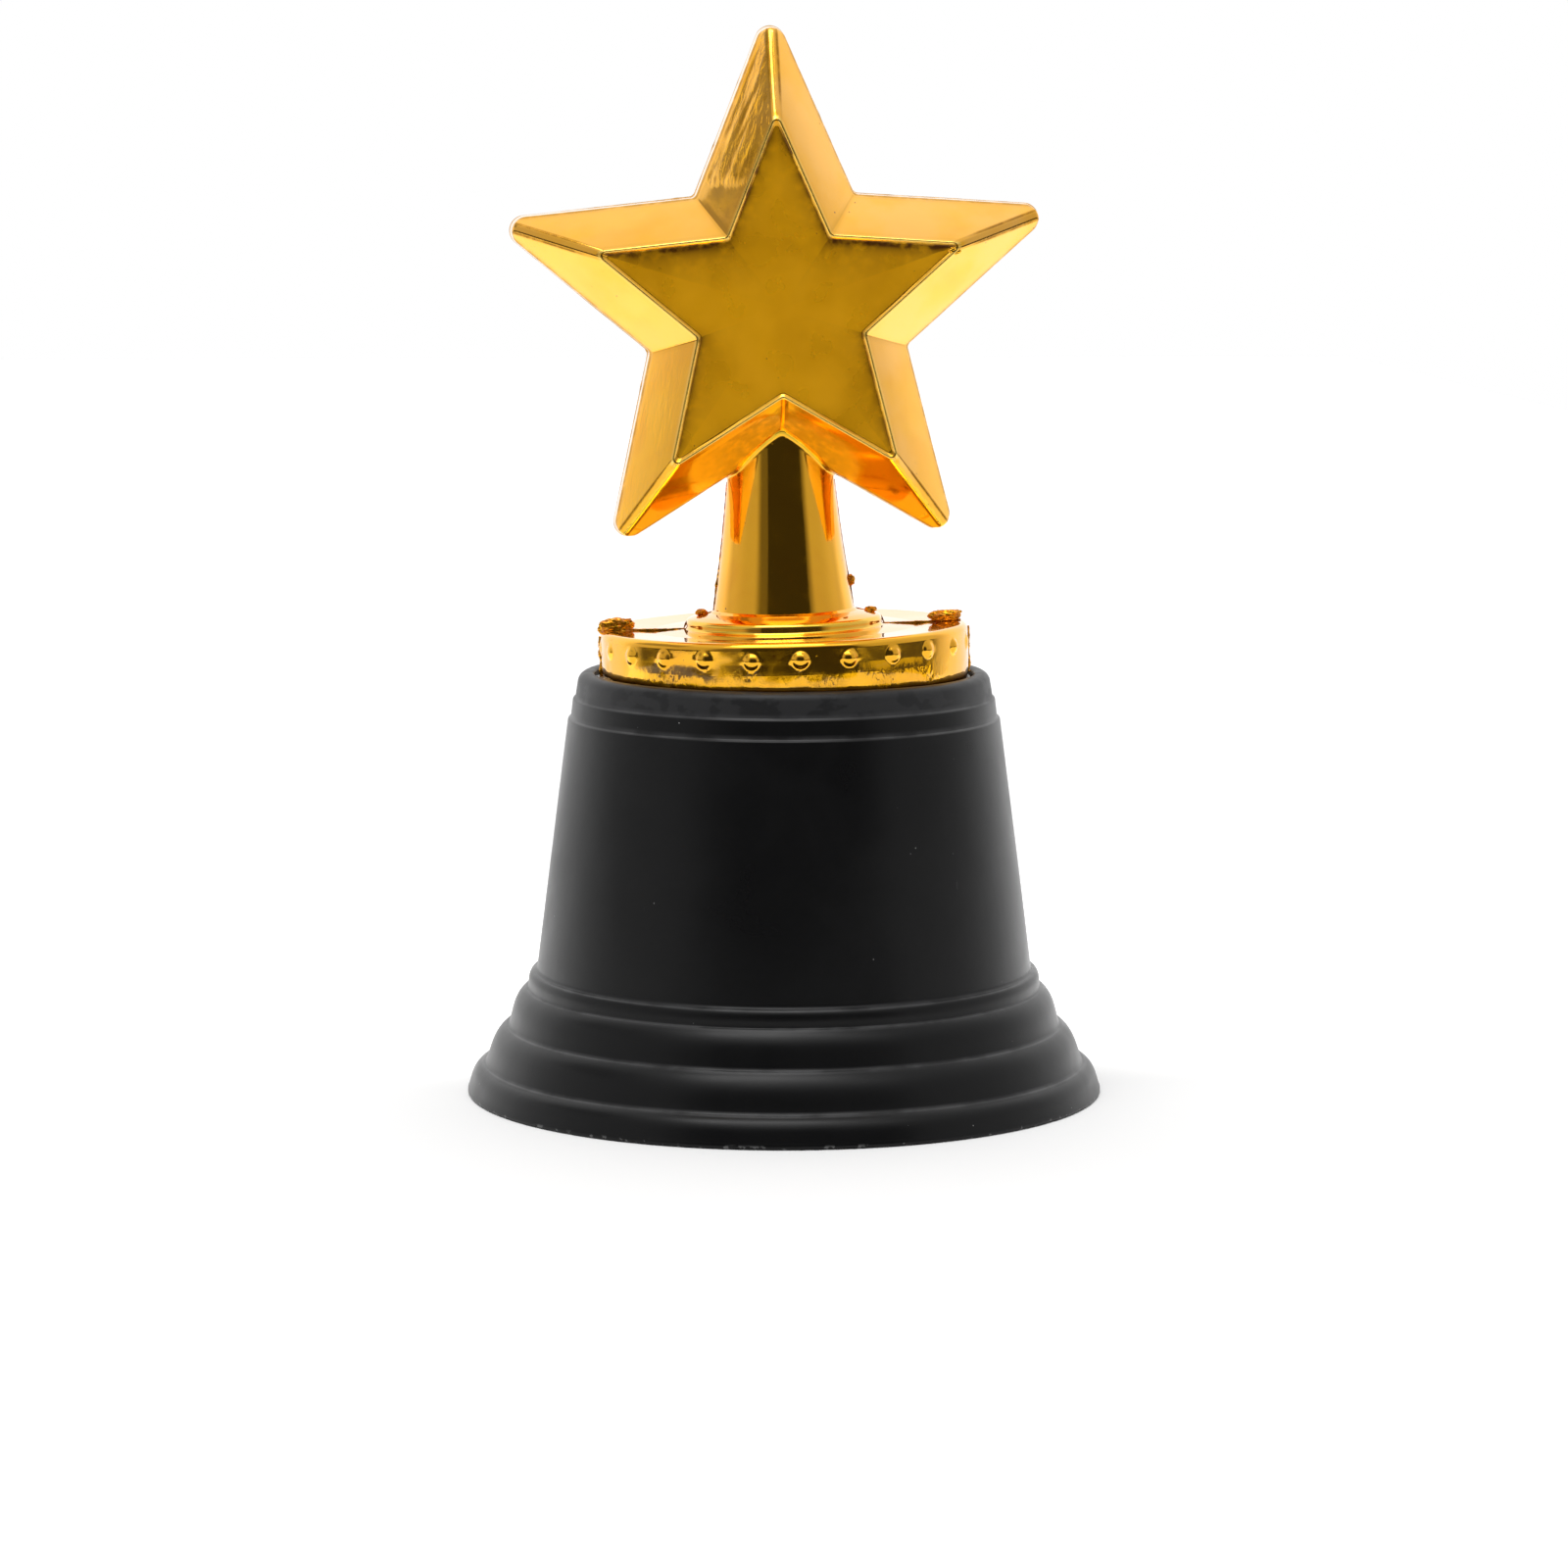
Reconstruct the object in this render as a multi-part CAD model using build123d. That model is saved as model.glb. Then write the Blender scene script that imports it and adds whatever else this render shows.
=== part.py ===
from build123d import *
import os
from math import cos, radians, sin

# A star trophy in millimetres: a hollow star figure glued into the seat of a hollow bell base.
# +Z is up, the table is z = 0, the star's faces look along -Y and +Y, and the origin is the
# centre of the base's foot.

# ---- Driving dimensions: base ----
FOOT_RADIUS = 45.0
FOOT_LAND = 0.5                     # upright edge that stands on the table
BASE_WALL = 1.3
HOLLOW_DROP, HOLLOW_TAPER = 0.6, 0.4  # the hollow's creases sit lower; its top narrows slightly
STEP_CORNERS = [(42.5, 4.2), (39.2, 9.6), (36.4, 14.9)]   # radius and height of each inner corner
STEP_BULGE, BAND_BULGE = 0.5, 0.17  # how far each step and the band swell outside their chords
BAND_TOP_RADIUS, BAND_TOP = 35.5, 17.3
SKIRT_RADIUS, SKIRT_FOOT = 35.1, 17.7
SHOULDER_RADIUS, SHOULDER = 30.5, 53.2
RING_DROP = 0.45                    # height of the ledge in each groove, and how far it steps in
RING_HEIGHT, RING_LEAN = 2.8, 0.2   # the ring between the grooves, narrower at its top
LIP_FOOT_RADIUS = 29.45
LIP_OUTER, LIP_INNER, LIP_TOP = 28.9, 26.7, 59.7
LIP_ROUND, LIP_SEAT_ROUND = 1.4, 0.5
SEAT_FLOOR = 56.5
SEAT_PLATE = 1.4

# ---- Driving dimensions: star figure ----
FIGURE_WALL = 1.2
FIGURE_LEAN = 1.4                   # the figure is glued in slightly off upright, towards -X
DRUM_RADIUS, DRUM_FOOT, DRUM_TOP = 25.9, 57.2, 66.2
DRUM_TOP_ROUND, DRUM_FOOT_ROUND = 1.0, 0.8
COLLAR_RADIUS, COLLAR_BREAK_RADIUS = 13.9, 12.1
COLLAR_BREAK = 67.9
POST_FOOT_RADIUS, POST_FOOT = 9.9, 68.5
POST_WAIST_RADIUS, POST_WAIST = 8.5, 78.0
POST_TOP_RADIUS, POST_TOP = 6.6, 101.0
STAR_CENTRE = 111.1
STAR_TIP, STAR_NOTCH = 42.2, 19.05  # radii of the sharp outline, before its corners are rounded
STAR_APOTHEM = 16.27                # distance from the centre to each edge of that outline
TIP_ROUND, NOTCH_ROUND = 2.1, 0.9
STAR_SIDE = 4.4                     # half depth of the drafted side wall
STAR_DEPTH = 13.5                   # half depth of the whole star
SIDE_DRAFT = 0.15                   # inset of the outline where the side wall ends
CREST_APOTHEM = 10.45               # outline of the crest round each face
CREST_WIDTH, FACE_STEP, FACE_RECESS = 0.25, 0.35, 0.35
INNER_SIDE, INNER_CREST = 3.9, 10.0  # side depth and crest outline of the cavity in the star
BEAD_COUNT, BEAD_RADIUS, BEAD_HEIGHT = 24, 1.25, 63.8
BEAD_PROUD, BEAD_PROUD_SIDE = 0.65, 0.25  # at the front and back, and beside the parting plane
BEAD_PHASE = 2.0                    # degrees from the front to the nearest bead
VENT_RADIUS, VENT_OFFSET = 0.8, 8.0  # needle hole that the figure was blown through

# ---- Driving dimensions: pinch-off flash and glue ----
FIN_THICKNESS, FIN_HEIGHT, FIN_ROOT = 0.6, 0.7, 1.0
LUMP_RADIUS, LUMP_REACH, LUMP_RISE = 1.5, 24.2, 0.6
GLUE_FOOT, GLUE_LIP, GLUE_CREST = 57.6, 58.8, 59.4
GLUE_CREST_RADIUS, GLUE_BITE = 25.5, 1.0  # both inside the drum, whose side cuts the glue off
DAB_COUNT, DAB_RING, DAB_RADIUS, DAB_HEIGHT = 5, 16.0, 4.5, 3.0
DAB_PHASE = 30.0                    # degrees from the right to the first dab

QUARTER_SAG = (2 ** 0.5 - 1) / 2    # height of a quarter circle over its chord
CLEARANCE = 1.0                     # how far a cut starts outside the body
OVERLAP = 0.01                      # how far a recess starts in front of its face


def revolved(points_and_arcs):
    """Turns a closed outline in the XZ plane about the Z axis."""
    return revolve(make_face(points_and_arcs), Axis.Z)


def line(start, end):
    return Line((start[0], 0, start[1]), (end[0], 0, end[1]))


def swell(start, end, bulge):
    """An arc from start to end that stands proud of its chord, away from the axis, by bulge."""
    run, rise = end[0] - start[0], end[1] - start[1]
    length = (run * run + rise * rise) ** 0.5
    middle_x = (start[0] + end[0]) / 2 + rise / length * bulge
    middle_z = (start[1] + end[1]) / 2 - run / length * bulge
    return ThreePointArc((start[0], 0, start[1]), (middle_x, 0, middle_z), (end[0], 0, end[1]))


def quarter_round(start, end):
    """A quarter circle from start to end, standing away from the axis."""
    run, rise = end[0] - start[0], end[1] - start[1]
    return swell(start, end, QUARTER_SAG * (run * run + rise * rise) ** 0.5)


def chain(points):
    return [line(a, b) for a, b in zip(points, points[1:])]


# ---- Base shell ----
def bell_side(shrink, foot, corner_drop):
    """The bell's stepped side from foot to shoulder, moved in by shrink, with its steps lowered."""
    corners = [(r - shrink, z - corner_drop) for r, z in STEP_CORNERS]
    band_top = (BAND_TOP_RADIUS - shrink, BAND_TOP - corner_drop)
    skirt_foot = (SKIRT_RADIUS - shrink, SKIRT_FOOT - corner_drop)
    start = (FOOT_RADIUS - shrink, FOOT_LAND)
    parts = [line((start[0], foot), start)]
    for corner in corners:
        parts.append(swell(start, corner, STEP_BULGE))
        start = corner
    parts.append(swell(start, band_top, BAND_BULGE))
    parts.append(line(band_top, skirt_foot))
    parts.append(line(skirt_foot, (SHOULDER_RADIUS - shrink, SHOULDER)))
    return parts


def base_shell():
    ring_radius = SHOULDER_RADIUS - RING_DROP
    ring_top = SHOULDER + RING_HEIGHT
    upper = [(SHOULDER_RADIUS, SHOULDER), (ring_radius, SHOULDER + RING_DROP)]
    upper += [(ring_radius - RING_LEAN, ring_top), (LIP_FOOT_RADIUS, ring_top + RING_DROP)]
    lip_side = (LIP_OUTER, LIP_TOP - LIP_ROUND)
    lip_flat = (LIP_OUTER - LIP_ROUND, LIP_TOP)
    lip_edge = (LIP_INNER + LIP_SEAT_ROUND, LIP_TOP)
    lip_seat = (LIP_INNER, LIP_TOP - LIP_SEAT_ROUND)
    outline = bell_side(0, 0, 0) + chain(upper + [lip_side])
    outline.append(quarter_round(lip_side, lip_flat))
    outline.append(line(lip_flat, lip_edge))
    outline.append(quarter_round(lip_edge, lip_seat))
    outline += chain([lip_seat, (LIP_INNER, SEAT_FLOOR), (0, SEAT_FLOOR), (0, 0), (FOOT_RADIUS, 0)])
    body = revolved(outline)
    ceiling = SEAT_FLOOR - SEAT_PLATE
    hollow = bell_side(BASE_WALL, -CLEARANCE, HOLLOW_DROP)
    top_radius = SHOULDER_RADIUS - BASE_WALL
    hollow += chain([(top_radius, SHOULDER), (top_radius - HOLLOW_TAPER, ceiling), (0, ceiling),
                     (0, -CLEARANCE), (FOOT_RADIUS - BASE_WALL, -CLEARANCE)])
    return body - revolved(hollow)


# ---- Star figure ----
def star_outline():
    """The star's sharp outline with its tips and notches rounded, centred on the origin."""
    corners = []
    for index in range(10):
        radius = STAR_NOTCH if index % 2 else STAR_TIP
        angle = radians(90 + 36 * index)
        corners.append((radius * cos(angle), radius * sin(angle)))
    face = make_face(Polyline(*corners, close=True))
    middle_radius = (STAR_TIP + STAR_NOTCH) / 2
    tips = [v for v in face.vertices() if Vector(v.X, v.Y).length > middle_radius]
    rounded = fillet(tips, TIP_ROUND)
    notches = [v for v in rounded.vertices() if Vector(v.X, v.Y).length < middle_radius]
    return fillet(notches, NOTCH_ROUND)


def star_slab(low, high):
    """A straight-sided slab of star between two (depth, apothem) sections, facing -Y."""
    outline = star_outline()
    sections = []
    for depth, apothem in (low, high):
        plane = Plane(origin=(0, -depth, STAR_CENTRE), x_dir=(1, 0, 0), z_dir=(0, -1, 0))
        sections.append(plane * scale(outline, by=apothem / STAR_APOTHEM))
    return loft(sections, ruled=True)


def star_body(sections):
    """Slabs between neighbouring sections on the front, mirrored to the back."""
    front = star_slab(sections[0], sections[1])
    for low, high in zip(sections[1:], sections[2:]):
        front += star_slab(low, high)
    return front + mirror(front, Plane.XZ)


def turned_stem(wall, foot, top):
    """Drum, collar and post as one turned solid, all moved in by wall."""
    drum = DRUM_RADIUS - wall
    flange = DRUM_TOP - wall
    collar = (COLLAR_RADIUS - wall, flange)
    collar_break = (COLLAR_BREAK_RADIUS - wall, COLLAR_BREAK - wall)
    post_foot = (POST_FOOT_RADIUS - wall, POST_FOOT - wall / 2)
    outline = chain([(0, foot), (drum - DRUM_FOOT_ROUND, foot)])
    outline.append(quarter_round((drum - DRUM_FOOT_ROUND, foot), (drum, foot + DRUM_FOOT_ROUND)))
    outline.append(line((drum, foot + DRUM_FOOT_ROUND), (drum, flange - DRUM_TOP_ROUND)))
    outline.append(quarter_round((drum, flange - DRUM_TOP_ROUND), (drum - DRUM_TOP_ROUND, flange)))
    outline.append(line((drum - DRUM_TOP_ROUND, flange), collar))
    outline.append(quarter_round(collar, collar_break))
    outline.append(line(collar_break, post_foot))
    outline.append(ThreePointArc((post_foot[0], 0, post_foot[1]), (POST_WAIST_RADIUS - wall, 0, POST_WAIST),
                                 (POST_TOP_RADIUS - wall, 0, top)))
    outline += chain([(POST_TOP_RADIUS - wall, top), (0, top), (0, foot)])
    return revolved(outline)


def bead_ring():
    beads = []
    for index in range(BEAD_COUNT):
        angle = radians(-90 + BEAD_PHASE + index * 360 / BEAD_COUNT)
        proud = BEAD_PROUD_SIDE + (BEAD_PROUD - BEAD_PROUD_SIDE) * abs(sin(angle))
        reach = DRUM_RADIUS + proud - BEAD_RADIUS
        beads.append(Pos(reach * cos(angle), reach * sin(angle), BEAD_HEIGHT) * Sphere(BEAD_RADIUS))
    return beads


def pinch_fins():
    """The flash left across the flange, along the parting plane, with a torn lump at each end."""
    pieces = []
    for side in (-1, 1):
        length = LUMP_REACH - POST_FOOT_RADIUS
        height = FIN_HEIGHT + FIN_ROOT
        fin = Box(length, FIN_THICKNESS, height)
        middle = (side * (POST_FOOT_RADIUS + length / 2), 0, DRUM_TOP + FIN_HEIGHT - height / 2)
        pieces.append(Pos(*middle) * fin)
        pieces.append(Pos(side * LUMP_REACH, 0, DRUM_TOP + LUMP_RISE) * Sphere(LUMP_RADIUS))
    return pieces


def figure_skin():
    """The figure's outer shape as one solid, upright."""
    side_edge = (STAR_SIDE, STAR_APOTHEM - SIDE_DRAFT)
    skin = star_body([(0, STAR_APOTHEM), side_edge, (STAR_DEPTH, CREST_APOTHEM)])
    recess = star_slab((STAR_DEPTH - FACE_RECESS, CREST_APOTHEM - CREST_WIDTH - FACE_STEP),
                       (STAR_DEPTH + OVERLAP, CREST_APOTHEM - CREST_WIDTH))
    skin -= recess
    skin -= mirror(recess, Plane.XZ)
    skin += turned_stem(0, DRUM_FOOT, POST_TOP)
    for piece in bead_ring() + pinch_fins():
        skin += piece
    return skin


def figure_cavity():
    """The air inside the blown figure: star, post and drum are one space."""
    side = STAR_APOTHEM - SIDE_DRAFT - FIGURE_WALL
    depth = STAR_DEPTH - FACE_RECESS - FIGURE_WALL
    cavity = star_body([(0, STAR_APOTHEM - FIGURE_WALL), (INNER_SIDE, side), (depth, INNER_CREST)])
    cavity += turned_stem(FIGURE_WALL, DRUM_FOOT + FIGURE_WALL, POST_TOP)
    return cavity + Pos(0, VENT_OFFSET, DRUM_FOOT) * Cylinder(VENT_RADIUS, 4 * FIGURE_WALL)


def leaned(shape):
    """Leans a shape about the Y direction through the middle of the drum's top."""
    return Pos(0, 0, DRUM_TOP) * Rot(0, -FIGURE_LEAN, 0) * Pos(0, 0, -DRUM_TOP) * shape


# ---- Glue ----
def glue_ring(figure):
    """Squeezed-out glue that fills the gap between the drum and the lip."""
    inside = DRUM_RADIUS - GLUE_BITE
    outline = chain([(inside, GLUE_FOOT), (LIP_INNER, GLUE_FOOT), (LIP_INNER, GLUE_LIP),
                     (GLUE_CREST_RADIUS, GLUE_CREST), (inside, GLUE_CREST), (inside, GLUE_FOOT)])
    return revolved(outline) - figure


def glue_dabs(figure):
    """Dabs of glue between the seat's floor and the underside of the leaning drum."""
    dabs = []
    for index in range(DAB_COUNT):
        angle = radians(DAB_PHASE + index * 360 / DAB_COUNT)
        place = Pos(DAB_RING * cos(angle), DAB_RING * sin(angle), SEAT_FLOOR)
        dab = place * Cylinder(DAB_RADIUS, DAB_HEIGHT, align=(Align.CENTER, Align.CENTER, Align.MIN))
        dabs.append((dab - figure).solids().sort_by(Axis.Z)[0])
    return Compound(dabs)


os.makedirs("parts", exist_ok=True)
skin = leaned(figure_skin())
nodes = {
    "base_shell": base_shell(),
    "star_figure": skin - leaned(figure_cavity()),
    "glue_ring": glue_ring(skin),
    "glue_dabs": glue_dabs(skin),
}
for name, shape in nodes.items():
    export_step(shape, f"parts/{name}.step")
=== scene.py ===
from math import cos, pi, radians, sin, sqrt, tan

import bmesh
import bpy
import numpy as np
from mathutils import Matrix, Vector, noise


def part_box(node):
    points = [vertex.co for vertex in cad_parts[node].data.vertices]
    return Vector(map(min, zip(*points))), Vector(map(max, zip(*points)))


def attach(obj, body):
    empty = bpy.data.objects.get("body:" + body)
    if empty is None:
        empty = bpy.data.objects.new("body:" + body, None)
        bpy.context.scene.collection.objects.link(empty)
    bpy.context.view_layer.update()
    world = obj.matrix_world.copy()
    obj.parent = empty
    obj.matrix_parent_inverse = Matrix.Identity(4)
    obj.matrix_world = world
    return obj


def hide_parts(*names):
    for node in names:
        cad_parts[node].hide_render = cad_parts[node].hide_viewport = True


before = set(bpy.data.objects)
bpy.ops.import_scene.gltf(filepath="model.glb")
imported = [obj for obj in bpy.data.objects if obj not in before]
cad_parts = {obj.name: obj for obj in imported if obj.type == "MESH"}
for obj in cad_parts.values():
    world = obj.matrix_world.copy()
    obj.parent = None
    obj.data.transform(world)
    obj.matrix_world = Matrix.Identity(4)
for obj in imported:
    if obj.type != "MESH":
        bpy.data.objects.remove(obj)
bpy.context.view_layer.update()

# A gold star figure glued into the seat of a black bell base. Lengths are millimetres until a mesh
# is made. The star's faces look along -Y and +Y, and its parting plane is Y = 0.
MM = 0.001
BODY = "root"
base_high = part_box("base_shell")[1]

# ---- Base ----
FOOT_RADIUS = base_high.x / MM
LIP_TOP = base_high.z / MM
FOOT_LAND = 0.5
BASE_WALL = 1.3
STEP_CORNERS = [(42.5, 4.2), (39.2, 9.6), (36.4, 14.9)]
STEP_BULGE = 0.5
BAND_TOP = (35.5, 17.3)
SKIRT_FOOT = (35.1, 17.7)
SHOULDER = (30.5, 53.2)
RING_DROP, RING_HEIGHT = 0.45, 2.8
RING_FOOT, RING_TOP = 30.1, 29.8             # radii of the ring above the skirt
LIP_FOOT, LIP_OUTER, LIP_INNER = 29.45, 28.9, 26.7
LIP_ROUND, LIP_SEAT_ROUND = 1.4, 0.5
SEAT_DEPTH, SEAT_PLATE = 3.2, 1.4
TRIM_HEIGHT, TRIM_RAGGED = 0.5, 0.16        # the foot's edge was cut by hand

# ---- Star figure, upright ----
LEAN = radians(1.4)                         # glued in slightly off upright, towards -X
DRUM_TOP = LIP_TOP + 6.5
DRUM_FOOT = LIP_TOP - 2.5
DRUM_RADIUS = 25.9
FLANGE_DISH = 0.25
COLLAR = (13.9, DRUM_TOP)
COLLAR_BREAK = (12.1, DRUM_TOP + 1.7)
POST_FOOT = (9.9, DRUM_TOP + 2.3)
POST_WAIST = (8.5, DRUM_TOP + 11.8)
POST_TOP = (6.6, DRUM_TOP + 34.8)
STAR_CENTRE = DRUM_TOP + 44.9
STAR_APOTHEM = 16.27                        # from the centre to each edge of the outline
EDGE_TURN = radians(67.2)                   # between a tip's direction and its edge's normal
HALF_SECTOR = radians(36)                   # from a tip to the next notch
TIP_ROUND, NOTCH_ROUND, RIDGE_ROUND = 2.1, 0.9, 0.8
SIDE_DEPTH, SIDE_DRAFT = 4.4, 0.15          # the side wall beside the parting plane
CREST_DEPTH, CREST_APOTHEM, CREST_WIDTH = 13.5, 10.45, 0.25
FACE_STEP, FACE_RECESS, FACE_TIP_ROUND = 0.35, 0.35, 0.25
FACE_MIDDLE = 0.3                           # apothem of the innermost outline on each face
EDGE_BLEND = 0.5
CROWN, STREAKED_CROWN = 0.15, 0.20          # how far the bevels swell, and the streaked one
TOP_ARM = 17.5                              # the top arm starts this far above the centre
STREAK_X, STREAK_Z = 0.388, 0.922           # direction of the streaks on the top left bevel
SCAR = (24.0, -13.15, 7.3)                  # a crinkled spot at the right inner tip, from the centre
FILLET = 0.9                                # size of the fillet where the post meets the star
BEAD_COUNT, BEAD_FOOTPRINT, BEAD_PROUD = 24, 1.2, 0.65
BEAD_HEIGHT = DRUM_TOP - 2.4
BEAD_PHASE = radians(2.0)

RANDOM = np.random.default_rng(41)


# ---- Small tools ----
def noise_at(points, size, seed):
    """Smooth noise of about -1 to 1 at each point; size is the feature size in mm, for all or each axis."""
    offset = np.array([17.3, -9.1, 5.7]) * seed
    places = points.reshape(-1, 3) / size + offset
    values = [noise.noise(place) for place in places.tolist()]
    return np.array(values).reshape(points.shape[:-1])


def soft_min(a, b, blend):
    overlap = np.maximum(blend - np.abs(a - b), 0) / blend
    return np.minimum(a, b) - overlap * overlap * blend / 4


def rounded(corners, step=0.25):
    """Points along a path of (x, y, radius) corners, each turned by an arc of its radius."""
    points = [corners[0][:2]]
    for (ax, ay, _), (bx, by, radius), (cx, cy, _) in zip(corners, corners[1:], corners[2:]):
        into = Vector((bx - ax, by - ay)).normalized()
        out = Vector((cx - bx, cy - by)).normalized()
        turn = into.angle_signed(out)
        if radius == 0 or abs(turn) < 1e-3:
            points.append((bx, by))
            continue
        reach = radius * tan(abs(turn) / 2)
        start = Vector((bx, by)) - into * reach
        count = max(3, int(radius * abs(turn) / step) + 2)
        side = Vector((into.y, -into.x)) * (1 if turn > 0 else -1)
        centre = start + side * radius
        for index in range(count + 1):
            angle = -turn * index / count
            arm = start - centre
            points.append((centre.x + arm.x * cos(angle) - arm.y * sin(angle),
                           centre.y + arm.x * sin(angle) + arm.y * cos(angle)))
    points.append(corners[-1][:2])
    return points


def divided(points, step):
    """The same path with no stretch longer than step."""
    result = [points[0]]
    for (ax, ay), (bx, by) in zip(points, points[1:]):
        count = max(1, round(sqrt((bx - ax) ** 2 + (by - ay) ** 2) / step))
        for index in range(1, count + 1):
            share = index / count
            result.append((ax + (bx - ax) * share, ay + (by - ay) * share))
    return result


def grid_normals(grid):
    """Outward unit normals of a grid whose columns wrap round."""
    along = np.gradient(grid, axis=0)
    around = np.roll(grid, -1, axis=1) - np.roll(grid, 1, axis=1)
    normals = np.cross(around, along)
    return normals / np.maximum(np.linalg.norm(normals, axis=2, keepdims=True), 1e-9)


def leaned(points, way=1):
    """Leans points about the Y direction through the middle of the drum's top; way -1 sets them upright."""
    moved = np.array(points, float)
    x, z = moved[..., 0].copy(), moved[..., 2] - DRUM_TOP
    moved[..., 0] = x * cos(LEAN) - z * sin(LEAN) * way
    moved[..., 2] = x * sin(LEAN) * way + z * cos(LEAN) + DRUM_TOP
    return moved


def mesh_object(name, points, faces, materials, indices=None):
    mesh = bpy.data.meshes.new(name)
    mesh.from_pydata((np.asarray(points) * MM).tolist(), [], faces)
    for material in materials:
        mesh.materials.append(material)
    if indices is not None:
        mesh.polygons.foreach_set("material_index", indices)
    mesh.polygons.foreach_set("use_smooth", [True] * len(mesh.polygons))
    mesh.update()
    piece = bpy.data.objects.new(name, mesh)
    bpy.context.scene.collection.objects.link(piece)
    return piece


def grid_object(name, grid, materials, row_material=None):
    """A closed mesh from rows of points that wrap round, each end closed by a fan to its middle."""
    rows, columns, _ = grid.shape
    points = np.concatenate([grid.reshape(-1, 3), [grid[0].mean(axis=0)], [grid[-1].mean(axis=0)]])
    first, last = rows * columns, rows * columns + 1
    faces, indices = [], []
    for row in range(rows - 1):
        for column in range(columns):
            after = (column + 1) % columns
            low, high = row * columns, (row + 1) * columns
            faces.append((low + column, low + after, high + after, high + column))
            indices.append(row_material[row] if row_material is not None else 0)
    top = (rows - 1) * columns
    for column in range(columns):
        after = (column + 1) % columns
        faces.append((first, after, column))
        faces.append((last, top + column, top + after))
        indices += [row_material[0], row_material[-1]] if row_material is not None else [0, 0]
    return mesh_object(name, points, faces, materials, indices)


def turned_grid(profile, angles):
    """Turns a path of (radius, height) points round the Z axis."""
    radius, height = np.array(profile).T
    return np.stack([np.outer(radius, np.cos(angles)), np.outer(radius, np.sin(angles)),
                     np.outer(height, np.ones(len(angles)))], axis=2)


def finish_piece(piece, slot, *nodes):
    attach(piece, BODY)
    if nodes:
        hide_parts(*nodes)
    return piece


# ---- Materials ----
def feed(tree, socket, value):
    """Gives an input its value, or links another node's output to it."""
    if isinstance(value, bpy.types.NodeSocket):
        tree.links.new(value, socket)
    else:
        socket.default_value = value


def add_node(tree, kind, inputs=None, **settings):
    node = tree.nodes.new(kind)
    for key, value in settings.items():
        setattr(node, key, value)
    for key, value in (inputs or {}).items():
        feed(tree, node.inputs[key], value)
    return node


class Shader:
    """A node material that is built by calls; a value or another node's socket feeds each input."""

    def __init__(self, name):
        self.material = bpy.data.materials.new(name)
        self.material.use_nodes = True
        self.tree = self.material.node_tree
        self.principled = self.tree.nodes["Principled BSDF"]
        place = self.add("ShaderNodeTexCoord")
        scale = self.add("ShaderNodeVectorMath", {0: place.outputs["Object"], "Scale": 1 / MM},
                         operation="SCALE")
        self.millimetres = scale.outputs[0]

    def add(self, kind, inputs=None, **settings):
        return add_node(self.tree, kind, inputs, **settings)

    def set(self, **values):
        for key, value in values.items():
            feed(self.tree, self.principled.inputs[key.replace("_", " ")], value)

    def math(self, operation, a, b=0.0, c=0.0):
        return self.add("ShaderNodeMath", {0: a, 1: b, 2: c}, operation=operation).outputs[0]

    def attribute(self, name):
        return self.add("ShaderNodeAttribute", attribute_name=name).outputs["Fac"]

    def noise(self, size, detail=2.0, stretch=(1, 1, 1), distortion=0.0, roughness=0.5):
        """Noise whose features are about size mm, stretched along each axis."""
        scale = [1 / (size * along) for along in stretch]
        place = self.add("ShaderNodeVectorMath", {0: self.millimetres, 1: scale}, operation="MULTIPLY")
        made = self.add("ShaderNodeTexNoise", {"Vector": place.outputs[0], "Scale": 1.0, "Detail": detail,
                                               "Distortion": distortion, "Roughness": roughness})
        return made.outputs[0]

    def specks(self, size, share, softness=0.3):
        """1 inside scattered round specks, 0 elsewhere; share is their radius over their spacing."""
        cells = self.add("ShaderNodeTexVoronoi", {"Vector": self.millimetres, "Scale": 1 / size})
        return self.ramp(cells.outputs["Distance"], share, share * (1 - softness))

    def ramp(self, value, low, high, to_low=0.0, to_high=1.0):
        node = self.add("ShaderNodeMapRange", {0: value, 1: low, 2: high, 3: to_low, 4: to_high},
                        interpolation_type="SMOOTHSTEP")
        return node.outputs[0]

    def mix(self, share, a, b):
        """Blends from colour a to colour b; the colour sockets of the node are found by number."""
        node = self.add("ShaderNodeMix", {"Factor": share}, data_type="RGBA")
        for index, colour in ((6, a), (7, b)):
            opaque = (*colour, 1.0) if isinstance(colour, tuple) else colour
            feed(self.tree, node.inputs[index], opaque)
        return node.outputs[2]

    def bump(self, height, depth, before=None):
        """Bumps as deep as depth mm, over any bumps made before."""
        inputs = {"Height": height, "Distance": depth * MM, "Strength": 1.0}
        if before is not None:
            inputs["Normal"] = before
        return self.add("ShaderNodeBump", inputs).outputs[0]


GOLD = (0.98, 0.475, 0.004)
GOLD_DEEP = (0.94, 0.42, 0.003)
GOLD_PAINTED_PALE = (1.0, 0.66, 0.03)               # painted paler gold on the down-facing inner bevels and the flange top
GOLD_PAINTED_SHEEN = (1.0, 0.51, 0.085)              # painted sheen: paler gold, strongest on the right half of the star and on the drum's top
GOLD_PAINTED_GLINT = (1.0, 0.66, 0.13)               # painted highlight along the crests
GOLD_EDGE = (1.0, 0.80, 0.45)               # tint of the metal seen at a low angle
FACE_GOLD = (0.95, 0.45, 0.004)
FACE_DULL = (0.94, 0.435, 0.004)
BROWN = (0.16, 0.045, 0.006)
TORN = (0.66, 0.24, 0.016)
PAINTED_SHADE = (0.10, 0.030, 0.002)               # dark brown: painted shade at the sunken faces' borders, beside ridges, on the side walls and crinkles; the dark flash at the parting line is real


def dust_pits(s, spacing, share):
    """Round dust pits under the lacquer, in patches."""
    return s.math("MULTIPLY", s.specks(spacing, share), s.ramp(s.noise(6.0, 2.0), 0.5, 0.62))


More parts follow.
